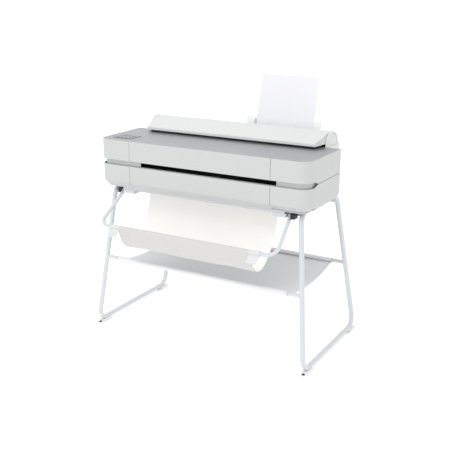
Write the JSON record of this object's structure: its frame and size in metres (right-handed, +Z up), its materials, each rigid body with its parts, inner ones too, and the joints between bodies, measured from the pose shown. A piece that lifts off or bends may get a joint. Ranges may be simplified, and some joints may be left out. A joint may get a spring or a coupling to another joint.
{
  "type": "large format plotter",
  "caption": "Wide roll-fed plotter on a splayed tube stand with shelf sling, catch bin, opening covers and a loaded rear sheet",
  "frame": {"origin": "centre of the bounding box at the floor", "axes": "+X to the machine's right seen from the front, +Y to its back, +Z up"},
  "size_m": [1.071, 0.6773, 1.135],
  "materials": {
    "white_plastic": "satin",
    "grey_deck": "fine metallic grey",
    "black_plastic": "satin",
    "screen_glass": "gloss",
    "screen_image": "gloss",
    "tube_paint": "satin white",
    "sheet_steel": "plain",
    "bin_cloth": "woven",
    "shelf_cloth": "woven",
    "white_paper": "matte",
    "hub_blue": "satin",
    "board_green": "satin",
    "ink_case": "satin",
    "roller_rubber": "matte"
  },
  "bodies": {
    "printer_and_stand": {"chassis_base": "sheet_steel", "chassis_frame": "sheet_steel", "lower_front_cover": "white_plastic", "lower_left_cover": "white_plastic", "lower_right_cover": "white_plastic", "upper_left_cover": "white_plastic", "upper_right_cover": "white_plastic", "ink_door_hinge": "sheet_steel", "deck_left": "grey_deck", "deck_right": "grey_deck", "deck_rear": "grey_deck", "main_cover_hinge": "sheet_steel", "slot_trim": "white_plastic", "output_platen": "black_plastic", "touchscreen_bezel": "screen_glass", "touchscreen_display": "screen_image", "rear_housing": "white_plastic", "end_cap_left": "white_plastic", "end_cap_right": "white_plastic", "cover_bumpers": "roller_rubber", "sheet_tray": "white_plastic", "carriage_rail": "sheet_steel", "encoder_strip": "white_paper", "feed_motor": "sheet_steel", "ink_cartridges": "ink_case", "cartridge_bay": "black_plastic", "service_station": "black_plastic", "main_board": "board_green", "power_supply": "sheet_steel", "power_inlet": "black_plastic", "data_ports": "black_plastic", "left_leg_frame": "tube_paint", "right_leg_frame": "tube_paint", "feet": "white_plastic", "shelf_bar_front": "tube_paint", "shelf_bar_rear": "tube_paint", "shelf_fabric": "shelf_cloth", "shelf_clips": "white_plastic", "stand_brackets": "tube_paint", "rear_cross_beam": "tube_paint", "bin_pivots": "black_plastic", "bin_rear_rod": "sheet_steel"},
    "main_cover": {"main_cover": "white_plastic", "main_cover_plate": "grey_deck"},
    "ink_door": {"ink_door": "white_plastic"},
    "roll_cover": {"roll_cover": "white_plastic"},
    "roll": {"spindle": "black_plastic", "roll_hubs": "hub_blue", "paper_roll": "white_paper"},
    "carriage": {"carriage": "black_plastic", "printhead": "black_plastic"},
    "feed_roller": {"feed_roller": "roller_rubber"},
    "media_sheet": {"media_sheet": "white_paper"},
    "paper_guide": {"paper_guide": "white_plastic"},
    "bin_frame": {"bin_frame": "tube_paint", "bin_fabric": "bin_cloth"},
    "bin_tab_left": {"bin_tab_left": "white_plastic"},
    "bin_tab_right": {"bin_tab_right": "white_plastic"}
  },
  "joints": [
    {"name": "main_cover_hinge", "type": "hinge", "parent": "printer_and_stand", "child": "main_cover", "pos_m": [0, 0.05369, 0.865], "axis": [-1, 0, 0], "range_deg": [0, 70]},
    {"name": "ink_door_hinge", "type": "hinge", "parent": "printer_and_stand", "child": "ink_door", "pos_m": [0.4, -0.16931, 0.677], "axis": [1, 0, 0], "range_deg": [0, 65]},
    {"name": "roll_cover_hinge", "type": "hinge", "parent": "printer_and_stand", "child": "roll_cover", "pos_m": [0, 0.18169, 0.873], "axis": [-1, 0, 0], "range_deg": [0, 75]},
    {"name": "spindle_spin", "type": "hinge", "parent": "printer_and_stand", "child": "roll", "pos_m": [0, 0.18169, 0.871], "axis": [1, 0, 0], "continuous": true},
    {"name": "carriage_slide", "type": "slide", "parent": "printer_and_stand", "child": "carriage", "axis": [-1, 0, 0], "range_m": [0, 0.8]},
    {"name": "feed_roller_spin", "type": "hinge", "parent": "printer_and_stand", "child": "feed_roller", "pos_m": [0, -0.00531, 0.753], "axis": [1, 0, 0], "continuous": true},
    {"name": "sheet_slide", "type": "slide", "parent": "printer_and_stand", "child": "media_sheet", "axis": [0, 0.2526, 0.9676], "range_m": [0, 0.25]},
    {"name": "guide_slide", "type": "slide", "parent": "printer_and_stand", "child": "paper_guide", "axis": [-1, 0, 0], "range_m": [0, 0.034]},
    {"name": "bin_tilt", "type": "hinge", "parent": "printer_and_stand", "child": "bin_frame", "pos_m": [0, -0.13731, 0.642], "axis": [1, 0, 0], "range_deg": [0, 50], "deforming": ["bin_fabric"]},
    {"name": "tab_left_fold", "type": "hinge", "parent": "bin_frame", "child": "bin_tab_left", "pos_m": [-0.337, -0.29837, 0.52107], "axis": [-1, 0, 0], "range_deg": [0, 90]},
    {"name": "tab_right_fold", "type": "hinge", "parent": "bin_frame", "child": "bin_tab_right", "pos_m": [0.337, -0.29837, 0.52107], "axis": [-1, 0, 0], "range_deg": [0, 90]}
  ]
}
